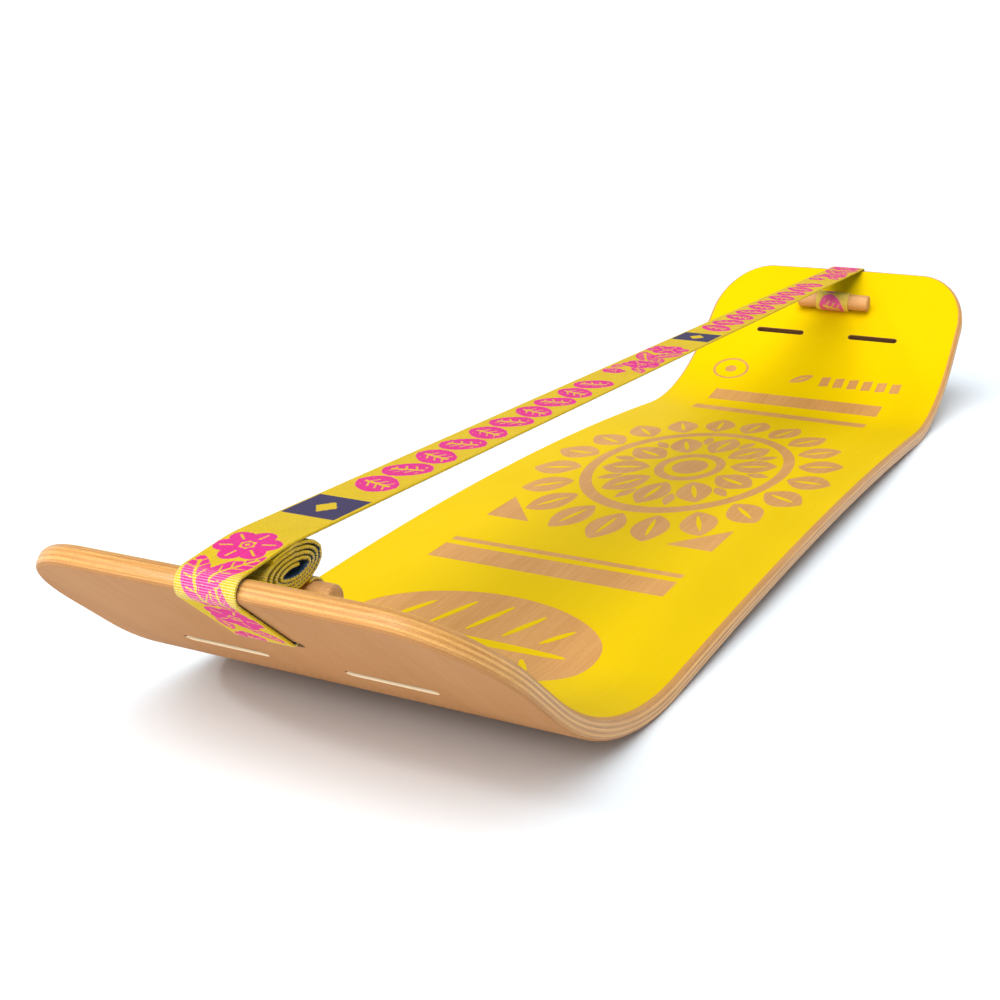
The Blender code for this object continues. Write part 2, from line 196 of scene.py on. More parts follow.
def joint_place(name):
    for joint in frame["joints"]:
        if joint["name"] == name:
            return Vector(joint["pos_m"])
    raise KeyError(name)


def box_centre(node):
    low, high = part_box(node)
    return (low + high) / 2


# ---------------------------------------------------------------- deck shape

def profile():
    """Arrays along, x, z, tilt of the deck's middle surface, from nose to nose."""
    half = []
    for along in np.linspace(FLAT_CENTRE, CAMBER_LENGTH, CAMBER_STEPS + 1):
        turn = along / CAMBER_RADIUS
        half.append((along, CAMBER_RADIUS * math.sin(turn),
                     CAMBER_RADIUS * (math.cos(turn) - 1), -turn))
    along, x, z, start = half[-1]
    centre_x = x - BEND_RADIUS * math.sin(start)
    centre_z = z + BEND_RADIUS * math.cos(start)
    for tilt in [-FLOOR_TILT, *np.linspace(FLOOR_TILT, KICK_ANGLE, BEND_STEPS)]:
        half.append((along + (tilt - start) * BEND_RADIUS,
                     centre_x + BEND_RADIUS * math.sin(tilt),
                     centre_z - BEND_RADIUS * math.cos(tilt), tilt))
    along, x, z, tilt = half[-1]
    half.append((along + KICK_LENGTH, x + KICK_LENGTH * math.cos(tilt),
                 z + KICK_LENGTH * math.sin(tilt), tilt))
    mirrored = [(-a, -px, pz, -t) for a, px, pz, t in reversed(half)]
    return np.array(mirrored + half).T


ALONG, PROFILE_X, PROFILE_Z, PROFILE_TILT = profile()
HALF_LENGTH = ALONG[-1]
PROFILE_Z = PROFILE_Z - np.min(PROFILE_Z - HALF_DECK * np.cos(PROFILE_TILT))


def bend(along, height):
    """World (x, z) of points given along the deck and off its middle surface."""
    tilt = np.interp(along, ALONG, PROFILE_TILT)
    x = np.interp(along, ALONG, PROFILE_X) - height * np.sin(tilt)
    z = np.interp(along, ALONG, PROFILE_Z) + height * np.cos(tilt)
    return x, z


def half_width(along):
    return END_WIDTH / 2 + SIDE_BULGE * (1 - (along / HALF_LENGTH) ** 2)


def edge_inset(height):
    """How far the rounded edge stands back at a height off the middle surface."""
    if height > 0:
        (depth, span), over = TOP_ROUND, height
    else:
        (depth, span), over = BOTTOM_ROUND, -height - (HALF_DECK - BOTTOM_ROUND[1])
    share = min(max(over / span, 0.0), 1.0)
    return depth * (1 - math.sqrt(1 - share * share))


def deck_outline(inset):
    """Closed outline of the flat deck, anticlockwise, with a point at every station."""
    corner_start = HALF_LENGTH - CORNER_LENGTH
    side = half_width(corner_start) - CORNER_WIDTH
    quarter = [(a, half_width(a) - inset) for a in ALONG if 0 < a < corner_start]
    for turn in np.linspace(0, math.pi / 2, CORNER_STEPS + 1):
        quarter.append((corner_start + (CORNER_LENGTH - inset) * math.sin(turn),
                        side + (CORNER_WIDTH - inset) * math.cos(turn)))
    for across in np.linspace(side, 0, NOSE_STEPS + 1)[1:]:
        quarter.append((HALF_LENGTH - inset, across))
    bowed = []
    for along, across in quarter:
        reach = max(along - corner_start, 0) / CORNER_LENGTH
        bow = NOSE_BOW * (across / half_width(corner_start)) ** 2 * reach
        bowed.append((along - bow, across))
    rest = bowed[:-1]
    right = [(a, -y) for a, y in reversed(rest)]
    near_right = [(-a, -y) for a, y in rest]
    near_left = [(-a, y) for a, y in reversed(rest)]
    near_nose = (-bowed[-1][0], 0.0)
    return rest + [bowed[-1]] + right + near_right + [near_nose] + near_left


def slot_outline(along, across, length, grow=0.0):
    radius = SLOT_WIDTH / 2 + grow
    reach = length / 2 - SLOT_WIDTH / 2
    points = []
    for side in (1, -1):
        for turn in np.linspace(0, math.pi, SLOT_STEPS + 1):
            points.append((along + side * radius * math.cos(turn),
                           across + side * (reach + radius * math.sin(turn))))
    return points


def slot_places():
    for end in (-1, 1):
        yield end * ANCHOR_SLOT_ALONG, 0.0, ANCHOR_SLOT_LENGTH
        yield end * SIDE_SLOT_ALONG, SIDE_SLOT_ACROSS, SLOT_LENGTH
        yield end * SIDE_SLOT_ALONG, -SIDE_SLOT_ACROSS, SLOT_LENGTH


# ---------------------------------------------------------------- material nodes

class Paint:
    """A Principled material with short helpers for its node tree."""

    def __init__(self, name):
        self.material = bpy.data.materials.new(name)
        self.material.use_nodes = True
        self.tree = self.material.node_tree
        self.shader = self.tree.nodes["Principled BSDF"]

    def add(self, kind, inputs=None, **settings):
        made = self.tree.nodes.new(kind)
        for key, value in settings.items():
            setattr(made, key, value)
        for key, value in (inputs or {}).items():
            self.put(made.inputs[key], value)
        return made

    def put(self, socket, value):
        if isinstance(value, bpy.types.NodeSocket):
            self.tree.links.new(value, socket)
        else:
            socket.default_value = value

    def set(self, **inputs):
        for key, value in inputs.items():
            self.put(self.shader.inputs[key.replace("_", " ")], value)

    def attribute(self, name, output="Vector"):
        return self.add("ShaderNodeAttribute", attribute_name=name).outputs[output]

    def stretch(self, vector, scale):
        return self.add("ShaderNodeMapping", {"Vector": vector, "Scale": scale}).outputs[0]

    def noise(self, vector, scale, detail=2.0, roughness=0.5, distortion=0.0):
        made = self.add("ShaderNodeTexNoise",
                        {"Vector": self.stretch(vector, scale), "Scale": 1.0,
                         "Detail": detail, "Roughness": roughness, "Distortion": distortion})
        return made.outputs["Fac"]

    def ramp(self, value, low, high, out_low=0.0, out_high=1.0):
        made = self.add("ShaderNodeMapRange",
                        {"Value": value, "From Min": low, "From Max": high,
                         "To Min": out_low, "To Max": out_high},
                        interpolation_type="SMOOTHSTEP")
        return made.outputs["Result"]

    def maths(self, operation, first, second=0.0):
        return self.add("ShaderNodeMath", {0: first, 1: second},
                        operation=operation).outputs[0]

    def mix(self, share, first, second, blend_type="MIX"):
        made = self.add("ShaderNodeMix", data_type="RGBA", blend_type=blend_type)
        self.put(made.inputs[0], share)
        self.put(made.inputs[6], first)
        self.put(made.inputs[7], second)
        return made.outputs[2]

    def bump(self, height, distance, strength=1.0):
        made = self.add("ShaderNodeBump", {"Height": height, "Distance": distance,
                                           "Strength": strength})
        self.put(self.shader.inputs["Normal"], made.outputs[0])


def darker(colour, share):
    return tuple(c * share for c in colour[:3]) + (1.0,)


def wood_paint(name, light, dark, roughness, coat=0.0, fleck_tone=0.30, streak_tone=0.45):
    """Beech: the grain runs along the first part of the "grain" attribute."""
    paint = Paint(name)
    grain = paint.attribute("grain")
    broad = paint.noise(grain, (2.2, 16, 40), 3.0, 0.55, 0.6)
    streak = paint.noise(grain, (14, 420, 700), 3.0, 0.6, 0.2)
    speck = paint.noise(grain, (900, 1300, 1300), 2.0)
    flecks = paint.ramp(paint.noise(grain, (330, 2300, 2300), 1.0), 0.60, 0.70)
    share = paint.maths("ADD", paint.maths("MULTIPLY", broad, 1.05 - streak_tone),
                        paint.maths("MULTIPLY", streak, streak_tone))
    colour = paint.mix(paint.ramp(share, 0.30, 0.75), light, dark)
    colour = paint.mix(paint.ramp(speck, 0.50, 0.80, 0.0, 0.35), colour, darker(dark, 0.8))
    colour = paint.mix(paint.maths("MULTIPLY", flecks, fleck_tone), colour, darker(dark, 0.5))
    end = paint.maths("MULTIPLY", paint.attribute("end_grain", "Fac"),
                      paint.ramp(speck, 0.35, 0.65, 0.08, 0.32))
    colour = paint.mix(end, colour, darker(dark, 0.55))
    # Painted light and shade in the slots: walls marked positive are painted pale cream as if
    # lit, walls marked negative are painted dark as if shaded
    slot = paint.attribute("slot_light_and_shade", "Fac")
    colour = paint.mix(paint.maths("MULTIPLY", slot, 0.8), colour, srgb(250, 226, 188))
    colour = paint.mix(paint.maths("MULTIPLY", slot, -1.0), colour, darker(dark, 0.35))
    lines = paint.maths("MULTIPLY", paint.attribute("rim", "Fac"),
                        paint.ramp(paint.noise(grain, (9, 9, 1900), 2.0), 0.50, 0.72))
    colour = paint.mix(paint.maths("MULTIPLY", lines, 0.55), colour, darker(dark, 0.5))
    paint.set(Base_Color=colour, Coat_Weight=coat, Coat_Roughness=0.14)
    paint.set(Roughness=paint.ramp(streak, 0.2, 0.8, roughness - 0.06, roughness + 0.08))
    paint.set(Specular_IOR_Level=0.22)
    paint.bump(paint.maths("SUBTRACT", streak, paint.maths("MULTIPLY", flecks, 0.5)),
               0.00025, 0.35)
    return paint.material


def ink_paint():
    """Screen-printed satin ink that still shows a little of the grain under it."""
    paint = Paint("deck_ink")
    grain = paint.attribute("grain")
    patch = paint.noise(grain, (5, 5, 5), 2.0)
    streak = paint.noise(grain, (14, 420, 700), 3.0, 0.6)
    fleck = paint.noise(grain, (330, 2300, 2300), 1.0)
    colour = paint.mix(paint.ramp(patch, 0.3, 0.7), srgb(222, 186, 0), srgb(226, 189, 0))
    colour = paint.mix(paint.ramp(streak, 0.35, 0.75, 0.0, 0.05), colour, srgb(196, 160, 0))
    paint.set(Base_Color=colour)
    paint.set(Roughness=paint.ramp(streak, 0.2, 0.8, 0.48, 0.60))
    paint.set(Specular_IOR_Level=0.02)
    paint.bump(paint.maths("ADD", streak, paint.maths("MULTIPLY", fleck, 0.4)), 0.0001, 0.3)
    return paint.material


def thread_paint(name, colour, darker_yarn_and_shade):
    """Polyester yarn: ribs of the weft crossed by the warp, smoother where it bends, with a
    painted highlight on the rib tops there.
    """
    paint = Paint(name)
    place = paint.attribute("grain")
    parts = paint.add("ShaderNodeSeparateXYZ", {"Vector": place}).outputs
    rib = paint.maths("SINE", paint.maths("MULTIPLY", parts["X"], 2 * math.pi / RIB_PITCH))
    warp = paint.maths("SINE", paint.maths("MULTIPLY", parts["Y"], 2 * math.pi / 0.0013))
    yarn = paint.noise(place, (500, 2600, 2600), 2.0, 0.6)
    patch = paint.noise(place, (30, 60, 60), 2.0)
    weave = paint.maths("ADD", rib, paint.maths("MULTIPLY", warp, 0.6))
    tone = paint.mix(paint.ramp(yarn, 0.30, 0.70), darker_yarn_and_shade, colour)
    # Painted shade: the valleys of the weave, between the ribs, are darkened towards the darker
    # yarn colour
    tone = paint.mix(paint.ramp(weave, -1.6, 0.4, 0.80, 0.0), tone, darker_yarn_and_shade)
    tone = paint.mix(paint.ramp(patch, 0.35, 0.75, 0.0, 0.25), tone, darker_yarn_and_shade)
    # Painted highlight: where the webbing bends tightly the rib tops are lightened towards a
    # pale tint of the yarn colour
    bent = paint.attribute("polish", "Fac")
    painted_rib_highlight = paint.maths("MULTIPLY", bent, paint.ramp(rib, 0.0, 0.9, 0.0, 0.42))
    tone = paint.mix(painted_rib_highlight, tone, tuple(0.45 * c + 0.5 for c in colour[:3]) + (1.0,))
    polish = paint.ramp(bent, 0.1, 0.9, 0.82, 0.26)
    paint.set(Base_Color=tone, Specular_IOR_Level=0.45)
    paint.set(Roughness=paint.maths("ADD", polish, paint.ramp(yarn, 0.2, 0.8, -0.06, 0.10)))
    paint.bump(paint.maths("ADD", weave, paint.maths("MULTIPLY", yarn, 1.5)), 0.00016, 1.0)
    return paint.material


# ---------------------------------------------------------------- mesh helpers

def place_object(name, mesh, materials):
    for material in materials:
        mesh.materials.append(material)
    piece = bpy.data.objects.new(name, mesh)
    bpy.context.scene.collection.objects.link(piece)
    return piece


def mesh_from_bmesh(name, data, sheet=(), sharp=math.radians(35)):
    """Smooth mesh with sharp creases, and a crease all round the flat sheet faces."""
    bmesh.ops.recalc_face_normals(data, faces=data.faces)
    flat = set(sheet)
    for face in data.faces:
        face.smooth = True
    for edge in data.edges:
        border = len({face in flat for face in edge.link_faces}) == 2
        edge.smooth = not border and edge.calc_face_angle(math.pi) < sharp
    mesh = bpy.data.meshes.new(name)
    data.to_mesh(mesh)
    data.free()
    return mesh


# ---------------------------------------------------------------- plywood

def ply_levels(low, high):
    """Heights at which a ply's rounded edge is sampled, finer where it curves more."""
    levels = [low]
    for spans, limit in ((TOP_ROUND[1], 1), (BOTTOM_ROUND[1], -1)):
        flat = 0.0 if limit > 0 else HALF_DECK - BOTTOM_ROUND[1]
        for share in np.sin(np.linspace(0, math.pi / 2, 25)):
            height = limit * (flat + share * spans)
            if low + 1e-5 < height < high - 1e-5:
                levels.append(height)
    return sorted(levels) + [high]


def mouth_grow(height):
    """How much wider the slots are where their mouths are softened."""
    mouth = TOP_MOUTH if height > 0 else BOTTOM_MOUTH
    share = min(max((abs(height) - HALF_DECK) / mouth + 1, 0.0), 1.0)
    return mouth * (1 - math.sqrt(1 - share * share))


def slot_levels(low, high):
    levels = [low, high]
    for share in (0.0, 0.4, 0.7, 0.9):
        for height in (HALF_DECK - TOP_MOUTH * (1 - share),
                       BOTTOM_MOUTH * (1 - share) - HALF_DECK):
            if low + 1e-6 < height < high - 1e-6:
                levels.append(height)
    return sorted(levels)


def fill_face(data, outline, outline_ring, slots, slot_rings):
    """Close one face of a veneer with a planar patch between each pair of stations."""
    sheet = []
    for low, high in zip(ALONG, ALONG[1:]):
        near = low - 1e-7 if low > ALONG[0] else -9.0
        far = high + 1e-7 if high < ALONG[-1] else 9.0
        cell = [i for i, (a, _) in enumerate(outline) if near <= a <= far]
        loops = [[outline_ring[i] for i in cell]]
        flat = [[Vector((*outline[i], 0.0)) for i in cell]]
        for slot, ring in zip(slots, slot_rings):
            if low < slot[0][0] < high:
                loops.append(ring)
                flat.append([Vector((*p, 0.0)) for p in slot])
        corners = [v for loop in loops for v in loop]
        for triangle in tessellate_polygon(flat):
            sheet.append(data.faces.new([corners[i] for i in triangle]))
    return sheet


def veneer(name, node, low, high, material, cross):
    """One veneer of the deck, its edge rounded with the whole board's profile."""
    data = bmesh.new()
    grain = data.verts.layers.float_vector.new("grain")
    end_grain = data.faces.layers.float.new("end_grain")
    rim = data.faces.layers.float.new("rim")
    # Slot walls carry painted light (1) and painted shade (-1)
    slot_light_and_shade = data.faces.layers.float.new("slot_light_and_shade")    # 1 is pale, -1 is dark

    def ring(points, height):
        made = []
        for along, across in points:
            x, z = bend(along, height)
            vert = data.verts.new((x, across, z))
            vert[grain] = (across, along, height) if cross else (along, across, height)
            made.append(vert)
        return made

    def wall(rings, outlines, steepness, slot=0.0):
        for lower, upper, points, steep in zip(rings, rings[1:], outlines, steepness):
            for i in range(len(lower)):
                j = (i + 1) % len(lower)
                face = data.faces.new((lower[i], lower[j], upper[j], upper[i]))
                run = Vector(points[j]) - Vector(points[i])
                facing = run.y if not cross else run.x
                face[rim] = steep
                # A slot wall facing the nose takes the painted light if it has any; every other
                # slot wall takes painted shade
                faces_nose = run.y * points[i][0] < 0
                face[slot_light_and_shade] = slot if faces_nose else -abs(slot)
                if run.length > 0:
                    face[end_grain] = steep * (facing / run.length) ** 2

    levels = ply_levels(low, high)
    outlines = [deck_outline(edge_inset(h)) for h in levels]
    rings = [ring(o, h) for o, h in zip(outlines, levels)]
    steepness = []
    for lower, upper in zip(levels, levels[1:]):
        rise, depth = upper - lower, edge_inset(upper) - edge_inset(lower)
        steepness.append(rise / math.hypot(rise, depth))
    wall(rings, outlines, steepness)
    ends = {low: [], high: []}
    for place in slot_places():
        heights = slot_levels(low, high)
        shapes = [slot_outline(*place, mouth_grow(h)) for h in heights]
        loops = [ring(s, h) for s, h in zip(shapes, heights)]
        # Painted light: the bottom veneer's side-slot walls that face the nose are painted pale
        # cream, as if lit; all other slot walls get painted shade
        pale = node == "bottom_veneer" and place[2] == SLOT_LENGTH
        wall(loops, shapes, [0.0] * len(loops), 1.0 if pale else -1.0)
        ends[low].append((shapes[0], loops[0]))
        ends[high].append((shapes[-1], loops[-1]))
    sheet = []
    for outline, outline_ring, height in ((outlines[0], rings[0], low),
                                          (outlines[-1], rings[-1], high)):
        sheet += fill_face(data, outline, outline_ring, [s for s, _ in ends[height]],
                           [r for _, r in ends[height]])
    mesh = mesh_from_bmesh(name, data, sheet)
    piece = place_object(name, mesh, [material])
    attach(piece, "root")
    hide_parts(node)


def build_plywood():
    face = wood_paint("beech_face", srgb(212, 155, 87), srgb(194, 136, 71), 0.55)
    under = wood_paint("beech_underside", srgb(184, 130, 79), srgb(174, 119, 68), 0.70, 0.0,
                       0.16, 0.10)
    light = wood_paint("beech_long_ply", srgb(231, 177, 103), srgb(207, 150, 83), 0.40, 0.12)
    brown = wood_paint("beech_cross_ply", srgb(213, 156, 88), srgb(186, 127, 65), 0.40, 0.12)
    pitch = THICKNESS / PLY_COUNT
    for i in range(PLY_COUNT):
        low = -HALF_DECK + i * pitch
        high = low + pitch - (GLUE_LINE if i < PLY_COUNT - 1 else 0.0)
        cross = i % 2 == 1
        node, material = f"ply_{i + 1}", brown if cross else light
        if i == 0:
            node, material = "bottom_veneer", under
        if i == PLY_COUNT - 1:
            node, material = "top_veneer", face
        veneer(f"{node}_wood", node, low, high, material,
               cross)


# ---------------------------------------------------------------- printed ink

def leaf(base, tip, breadth, power=0.9, steps=12):
    """Outline of a leaf from base to tip; a low power gives blunt ends."""
    base, tip = Vector(base), Vector(tip)
    axis = tip - base
    side = Vector((-axis.y, axis.x)).normalized()
    shares = [(1 - math.cos(math.pi * i / steps)) / 2 for i in range(steps + 1)]
    points = []
    for share in shares[:-1]:
        points.append(base + axis * share + side * breadth * math.sin(math.pi * share) ** power)
    for share in reversed(shares[1:]):
        points.append(base + axis * share - side * breadth * math.sin(math.pi * share) ** power)
    return [tuple(p) for p in points]


def veined_leaf(base, tip, breadth, vein, power=0.9, steps=12):
    """A leaf with a slit of ink down its middle."""
    base, tip = Vector(base), Vector(tip)
    axis = tip - base
    slit = leaf(base + axis * 0.16, base + axis * 0.80, vein, 0.7, 8)
    return [leaf(base, tip, breadth, power, steps), slit]


def ring_outline(centre, radius, steps=64):
    turns = [2 * math.pi * i / steps for i in range(steps)]
    return [(centre[0] + radius * math.cos(t), centre[1] + radius * math.sin(t))
            for t in turns]


def bar(along_low, along_high, across_low, across_high, slant=0.0):
    return [(along_low, across_low), (along_high, across_low),
            (along_high + slant, across_high), (along_low + slant, across_high)]


def polar(reach, turn):
    return reach * math.cos(turn), reach * math.sin(turn)


def rosette():
    """The large round leaf pattern in the middle of the deck, drawn in a unit circle."""
    shapes = []
    for i in range(20):
        turn = 2 * math.pi * i / 20
        shapes += veined_leaf(polar(0.70, turn), polar(1.0, turn), 0.108, 0.014, 0.75)
    for i in range(10):
        turn = 2 * math.pi * i / 10
        shapes += veined_leaf(polar(0.26, turn), polar(0.565, turn), 0.108, 0.016, 0.75)
        shapes.append(leaf(polar(0.41, turn + math.pi / 10),
                           polar(0.57, turn + math.pi / 10), 0.036, 0.9, 8))
    for reach in (0.672, 0.598, 0.225, 0.165, 0.115):
        shapes.append(ring_outline((0.0, 0.0), reach))
    half_length, half_across = ROSETTE_HALF
    return [[(ROSETTE_ALONG + half_length * x, half_across * y) for x, y in shape]
            for shape in shapes]


def big_leaf():
    """The broad leaf near the end with the roll, lying across the deck."""
    along, left, right, breadth = BIG_LEAF_ALONG, 0.128, -0.126, 0.101
    shapes = [leaf((along, left), (along, right), breadth, 0.42, 40)]
    shapes.append(leaf((along, left - 0.036), (along, right + 0.026), 0.0070, 0.35, 12))
    for side in (-1, 1):
        for i in range(5):
            start = Vector((along + side * 0.018, left - 0.046 - i * 0.037))
            reach = (0.046, 0.060, 0.062, 0.054, 0.036)[i]
            tip = start + Vector((side * reach, -0.020))
            shapes.append(leaf(start, tip, 0.0036, 0.5, 8))
    return shapes


def deck_graphics():
    """Closed outlines, flat, where the print leaves the wood bare (or fills it again)."""
    shapes = rosette() + big_leaf()
    shapes.append(bar(-0.3195, -0.2800, -0.127, 0.128))
    shapes.append(bar(-0.2690, -0.2585, -0.127, 0.128))
    shapes.append([(-0.184, 0.131), (-0.112, 0.131), (-0.184, 0.080)])
    shapes.append([(-0.186, -0.129), (-0.186, -0.078), (-0.114, -0.129)])
    shapes.append(bar(0.5335, 0.5745, -0.127, 0.127))
    shapes.append(bar(0.4620, 0.4900, -0.125, 0.132, 0.008))
    shapes += [ring_outline((0.6385, 0.1245), r, 40) for r in (0.0280, 0.0238, 0.0090)]
    shapes += veined_leaf((0.6175, 0.026), (0.6430, -0.006), 0.0085, 0.0012)
    for i in range(6):
        across = -0.020 - i * 0.0212
        shapes.append(bar(0.6150, 0.6400, across, across - 0.0135, 0.003))
    return shapes


def inside_count(points, outlines):
    """How many outlines hold each point."""
    held = np.zeros(len(points), int)
    for outline in outlines:
        a = np.array(outline)
        b = np.roll(a, -1, axis=0)
        x, y = points[:, 0:1], points[:, 1:2]
        crosses = (a[:, 1] > y) != (b[:, 1] > y)
        rise = np.where(b[:, 1] == a[:, 1], 1.0, b[:, 1] - a[:, 1])
        at = (b[:, 0] - a[:, 0]) * (y - a[:, 1]) / rise + a[:, 0]
        held += (np.sum(crosses & (x < at), axis=1) % 2)
    return held


def outline_reach(outline, along, across):
    """Distance of a point from a closed outline."""
    start = outline
    run = np.roll(outline, -1, axis=0) - start
    off = np.array([along, across]) - start
    share = np.clip((off * run).sum(axis=1) / (run * run).sum(axis=1), 0, 1)
    return float(np.hypot(*(off - run * share[:, None]).T).min())


def build_ink():
    outlines = [deck_outline(INK_INSET)]
    # Extra rings let the ink bend over the rounded edge
    shoulders = [deck_outline(TOP_ROUND[0] * share) for share in (0.8, 0.9, 1.0)]
    for place in slot_places():
        outlines.append(slot_outline(*place, INK_SLOT_MARGIN))
    outlines += deck_graphics()
    points, edges = [], []
    for outline in outlines + shoulders:
        first = len(points)
        points += [Vector(p) for p in outline]
        count = len(outline)
        edges += [(first + i, first + (i + 1) % count) for i in range(count)]
    for along in ALONG[1:-1]:
        edges.append((len(points), len(points) + 1))
        points += [Vector((along, -END_WIDTH)), Vector((along, END_WIDTH))]
    verts, _, faces, *_ = delaunay_2d_cdt(points, edges, [], 0, 1e-7)
    flat = np.array([tuple(v) for v in verts])
    triangles = np.array([tuple(f) for f in faces])
    keep = inside_count(flat[triangles].mean(axis=1), outlines) % 2 == 1
    data = bmesh.new()
    grain = data.verts.layers.float_vector.new("grain")
    sheet = [data.verts.new((a, y, 0.0)) for a, y in flat]
    for triangle in triangles[keep]:
        data.faces.new([sheet[i] for i in triangle])
    bmesh.ops.delete(data, geom=[v for v in data.verts if not v.link_faces], context="VERTS")
    made = bmesh.ops.extrude_face_region(data, geom=list(data.faces))
    for item in made["geom"]:
        if isinstance(item, bmesh.types.BMVert):
            item.co.z = INK_THICKNESS
    edge = np.array(deck_outline(0.0))
    for vert in data.verts:
        along, across, lift = vert.co
        depth = min(outline_reach(edge, along, across) / TOP_ROUND[0], 1.0)
        drop = TOP_ROUND[1] * (1 - math.sqrt(1 - (1 - depth) ** 2))
        x, z = bend(along, HALF_DECK + INK_LIFT + lift - drop)
        vert[grain] = (along, across, HALF_DECK)
        vert.co = (x, across, z)
    piece = place_object("deck_print", mesh_from_bmesh("deck_print", data), [ink_paint()])
    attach(piece, "root")


# ---------------------------------------------------------------- webbing paths

def arc(centre, radius, start, end, steps=40):
    turns = np.linspace(start, end, steps + 1)
    return [(centre[0] + radius * math.cos(t), centre[1] + radius * math.sin(t))
            for t in turns]


def tangent_turn(point, centre, radius, side):
    """Angle round a circle at which a line from the point touches it."""
    dx, dz = point[0] - centre[0], point[1] - centre[1]
    return math.atan2(dz, dx) + side * math.acos(radius / math.hypot(dx, dz))


LINE_START = Vector((joint_place("line_sag").x, joint_place("line_sag").z))
LINE_BEND = Vector((joint_place("line_bend").x, joint_place("line_bend").z))
LINE_DIRECTION = (LINE_BEND - LINE_START).normalized()
LINE_LENGTH = 2 * (LINE_BEND - LINE_START).length
LINE_TILT = math.atan2(LINE_DIRECTION.y, LINE_DIRECTION.x)
CREST_CENTRE = (CREST_X, LINE_START.y - CREST_RADIUS)


def on_line(distance):
    return tuple(LINE_START + LINE_DIRECTION * distance)


def nose_centre(end):
    x, z = bend(end * (HALF_LENGTH - NOSE_WRAP_INSET), 0.0)
    return float(x), float(z)


def dowel_circle(end):
    """Centre and radius, at the middle of the webbing, of the turn round a dowel."""
    node = "near_dowel" if end < 0 else "far_dowel"
    low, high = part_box(node)
    centre = box_centre(node)
    return (centre.x, centre.z), (high.z - low.z) / 2 + GAP + HALF_WEB


def nose_rise():
    """Tilt of the run from the near nose up to the crest over the roll."""
    low = nose_centre(-1)
    dx, dz = CREST_CENTRE[0] - low[0], CREST_CENTRE[1] - low[1]
    lean = math.asin((CREST_RADIUS - NOSE_WRAP_RADIUS) / math.hypot(dx, dz))
    return math.atan2(dz, dx) + lean


def slot_turn(end, leg, height, radius):
    points = []
    for turn in np.linspace(0, math.pi / 2, 9):
        along = leg + radius * (1 - math.sin(turn))
        points.append(bend(end * along, height + radius * (1 - math.cos(turn))))
    return points


def near_wrap_path():
    rise = nose_rise()
    path = [on_line(0)]
    path += arc(CREST_CENTRE, CREST_RADIUS, math.pi / 2 + LINE_TILT, math.pi / 2 + rise)
    path += arc(nose_centre(-1), NOSE_WRAP_RADIUS, math.pi / 2 + rise,
                1.5 * math.pi - KICK_ANGLE)
    path += slot_turn(-1, ANCHOR_SLOT_ALONG, -NOSE_WRAP_RADIUS, NEAR_SLOT_TURN)
    mouth = bend(-ANCHOR_SLOT_ALONG, HALF_DECK)
    dowel, radius = dowel_circle(-1)
    start = tangent_turn(mouth, dowel, radius, 1)
    return path + [mouth] + arc(dowel, radius, start, math.pi / 2 + TAIL_LEAN)


def far_loop_path():
    outer = -(HALF_DECK + WEB_THICKNESS + HALF_WEB + 3 * GAP + LAYER_LIFT)
    inner = -(HALF_DECK + HALF_WEB + GAP)
    up, down = ANCHOR_SLOT_ALONG - LEG_OFFSET, ANCHOR_SLOT_ALONG + LEG_OFFSET
    turn = tangent_turn(tuple(LINE_START), nose_centre(1), NOSE_WRAP_RADIUS, -1)
    path = [on_line(LINE_LENGTH + LINE_GAP)]
    path += arc(nose_centre(1), NOSE_WRAP_RADIUS, turn, KICK_ANGLE - math.pi / 2)
    path.append(bend(down + LOOP_TAIL_LENGTH + LOOP_TAIL_CLEAR, outer))
    path += slot_turn(1, up, outer, FAR_OUTER_TURN)
    rise, fall = bend(up, HALF_DECK + 2 * GAP), bend(down, HALF_DECK + 2 * GAP)
    dowel, radius = dowel_circle(1)
    start = tangent_turn(rise, dowel, radius, -1) + 2 * math.pi
    path += [rise] + arc(dowel, radius, start, tangent_turn(fall, dowel, radius, 1), 60)
    path += [fall] + list(reversed(slot_turn(1, down, inner, FAR_INNER_TURN)))
    return path + [bend(down + LOOP_TAIL_LENGTH, inner)]


def roll_path():
    """A flattened spiral from the roll's outside, clockwise, to its core."""
    verts = frame["nodes"]["webbing_spare_roll"].data.vertices
    rim = np.array([(v.co.x, v.co.z) for v in verts if v.co.y > 0])
    from_centre = rim - ROLL_CENTRE
    around = np.arctan2(from_centre[:, 1], from_centre[:, 0])
    reach = np.hypot(from_centre[:, 0], from_centre[:, 1])
    order = np.argsort(around)
    around, reach = around[order], reach[order]
    path = []
    total = 2 * math.pi * ROLL_TURNS
    for turned in np.linspace(0, total, int(ROLL_TURNS * ROLL_TURN_STEPS)):
        turn = (ROLL_START - turned + math.pi) % (2 * math.pi) - math.pi
        outer = np.interp(turn, around, reach, period=2 * math.pi) - HALF_WEB * ROLL_FULLNESS
        level = turn - ROLL_TILT
        core = 1 / math.hypot(math.cos(level) / ROLL_CORE[0], math.sin(level) / ROLL_CORE[1])
        share = max(turned - ROLL_HOLD, 0.0) / (total - ROLL_HOLD)
        radius = outer * (1 - share) + core * share
        path.append((ROLL_CENTRE[0] + share * ROLL_CORE_SHIFT[0] + radius * math.cos(turn),
                     ROLL_CENTRE[1] + share * ROLL_CORE_SHIFT[1] + radius * math.sin(turn)))
    return path


